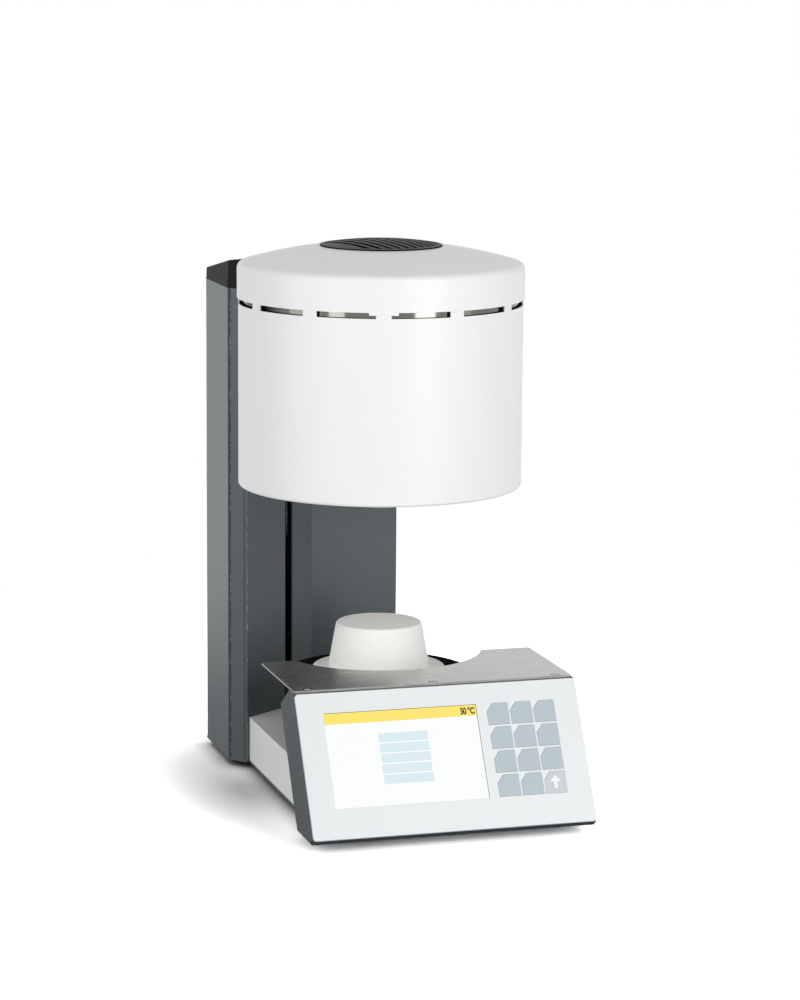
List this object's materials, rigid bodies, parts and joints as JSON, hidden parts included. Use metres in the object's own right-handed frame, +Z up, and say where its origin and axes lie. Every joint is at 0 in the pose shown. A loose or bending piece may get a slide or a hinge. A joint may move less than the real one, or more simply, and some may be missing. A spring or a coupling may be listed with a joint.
{
  "type": "dental lab furnace",
  "caption": "Dental laboratory furnace: a round heating head slides down a sheet-metal column over a fibre firing plinth, with a tilted control panel in front.",
  "frame": {"origin": "on the floor, under the middle of the whole outline", "axes": "+Z up; -Y towards the operator, who faces the control panel; +X to the operator's right"},
  "size_m": [0.2914, 0.462, 0.5556],
  "materials": {
    "painted_white": "satin white paint",
    "column_grey": "fine textured powder coat, slate grey",
    "housing_grey": "satin dark grey paint",
    "base_grey": "satin light grey paint",
    "black_plastic": "matt moulded black",
    "stainless": "brushed stainless steel",
    "polished": "polished stainless sheet",
    "steel": "ground steel",
    "aluminium": "milled aluminium",
    "rubber": "matt black rubber",
    "panel_foil": "pale blue-white printed foil",
    "key_foil": "blue-grey printed foil",
    "display": "lit display behind clear glass",
    "fibre": "dry ceramic fibre",
    "fibre_disc": "pressed ceramic fibre board",
    "board": "green circuit board",
    "table_black": "heat-proof black paint"
  },
  "bodies": {
    "root": {"rubber_feet": "rubber", "base_plate": "base_grey", "base_pan": "base_grey", "column_shell": "column_grey", "column_cap": "black_plastic", "column_rear_cover": "column_grey", "rear_cover_screws": "steel", "lift_spine": "steel", "guide_rail": "steel", "screw_bearings": "aluminium", "lift_motor": "black_plastic", "motor_bracket": "steel", "control_housing": "housing_grey", "front_panel": "panel_foil", "display_module": "display", "keypad_board": "board", "cover_plate": "stainless", "plate_screws": "stainless", "table_drum": "table_black", "table_plate": "table_black", "fibre_disc": "fibre_disc", "firing_plinth": "fibre", "transformer": "steel", "control_board": "board", "mains_inlet": "black_plastic", "switch_frame": "black_plastic", "fan_frame": "black_plastic"},
    "head": {"hood_shell": "painted_white", "hood_lid": "painted_white", "top_grille": "black_plastic", "head_base_ring": "stainless", "head_screws": "steel", "mouth_ring": "fibre", "heating_muffle": "fibre", "insulation_block": "fibre", "muffle_casing": "polished", "thermocouple": "fibre_disc", "heat_shield": "polished", "lift_arm": "steel", "carriage": "aluminium", "screw_nut": "steel"},
    "screw": {"lead_screw": "steel", "shaft_coupling": "aluminium", "motor_shaft": "steel"},
    "fan_rotor": {"fan_rotor": "black_plastic"},
    "rocker": {"rocker": "black_plastic"},
    "key_1": {"key_1": "key_foil"},
    "key_2": {"key_2": "key_foil"},
    "key_3": {"key_3": "key_foil"},
    "key_4": {"key_4": "key_foil"},
    "key_5": {"key_5": "key_foil"},
    "key_6": {"key_6": "key_foil"},
    "key_7": {"key_7": "key_foil"},
    "key_8": {"key_8": "key_foil"},
    "key_9": {"key_9": "key_foil"},
    "key_10": {"key_10": "key_foil"},
    "key_11": {"key_11": "key_foil"},
    "key_12": {"key_12": "key_foil"}
  },
  "joints": [
    {"name": "head_lift", "type": "slide", "parent": "root", "child": "head", "axis": [0, 0, -1], "range_m": [0, 0.167]},
    {"name": "screw_turn", "type": "hinge", "parent": "root", "child": "screw", "pos_m": [-0.05826, 0.1915, 0.2], "axis": [0, 0, 1], "range_deg": [0, 3010]},
    {"name": "fan_spin", "type": "hinge", "parent": "root", "child": "fan_rotor", "pos_m": [-0.01268, 0.21959, 0.44], "axis": [0, 1, 0], "continuous": true},
    {"name": "rocker_tip", "type": "hinge", "parent": "root", "child": "rocker", "pos_m": [0.00532, 0.22559, 0.1], "axis": [1, 0, 0], "range_deg": [-14, 0]},
    {"name": "key_1_press", "type": "slide", "parent": "root", "child": "key_1", "axis": [0, 0.8625, -0.506], "range_m": [0, 0.0005], "stiffness_N_per_m": 400, "springref_m": -0.00025},
    {"name": "key_2_press", "type": "slide", "parent": "root", "child": "key_2", "axis": [0, 0.8625, -0.506], "range_m": [0, 0.0005], "stiffness_N_per_m": 400, "springref_m": -0.00025},
    {"name": "key_3_press", "type": "slide", "parent": "root", "child": "key_3", "axis": [0, 0.8625, -0.506], "range_m": [0, 0.0005], "stiffness_N_per_m": 400, "springref_m": -0.00025},
    {"name": "key_4_press", "type": "slide", "parent": "root", "child": "key_4", "axis": [0, 0.8625, -0.506], "range_m": [0, 0.0005], "stiffness_N_per_m": 400, "springref_m": -0.00025},
    {"name": "key_5_press", "type": "slide", "parent": "root", "child": "key_5", "axis": [0, 0.8625, -0.506], "range_m": [0, 0.0005], "stiffness_N_per_m": 400, "springref_m": -0.00025},
    {"name": "key_6_press", "type": "slide", "parent": "root", "child": "key_6", "axis": [0, 0.8625, -0.506], "range_m": [0, 0.0005], "stiffness_N_per_m": 400, "springref_m": -0.00025},
    {"name": "key_7_press", "type": "slide", "parent": "root", "child": "key_7", "axis": [0, 0.8625, -0.506], "range_m": [0, 0.0005], "stiffness_N_per_m": 400, "springref_m": -0.00025},
    {"name": "key_8_press", "type": "slide", "parent": "root", "child": "key_8", "axis": [0, 0.8625, -0.506], "range_m": [0, 0.0005], "stiffness_N_per_m": 400, "springref_m": -0.00025},
    {"name": "key_9_press", "type": "slide", "parent": "root", "child": "key_9", "axis": [0, 0.8625, -0.506], "range_m": [0, 0.0005], "stiffness_N_per_m": 400, "springref_m": -0.00025},
    {"name": "key_10_press", "type": "slide", "parent": "root", "child": "key_10", "axis": [0, 0.8625, -0.506], "range_m": [0, 0.0005], "stiffness_N_per_m": 400, "springref_m": -0.00025},
    {"name": "key_11_press", "type": "slide", "parent": "root", "child": "key_11", "axis": [0, 0.8625, -0.506], "range_m": [0, 0.0005], "stiffness_N_per_m": 400, "springref_m": -0.00025},
    {"name": "key_12_press", "type": "slide", "parent": "root", "child": "key_12", "axis": [0, 0.8625, -0.506], "range_m": [0, 0.0005], "stiffness_N_per_m": 400, "springref_m": -0.00025}
  ],
  "couplings": [
    {"joint": "screw_turn", "follows": "head_lift", "rad_per_m": 314.16}
  ]
}
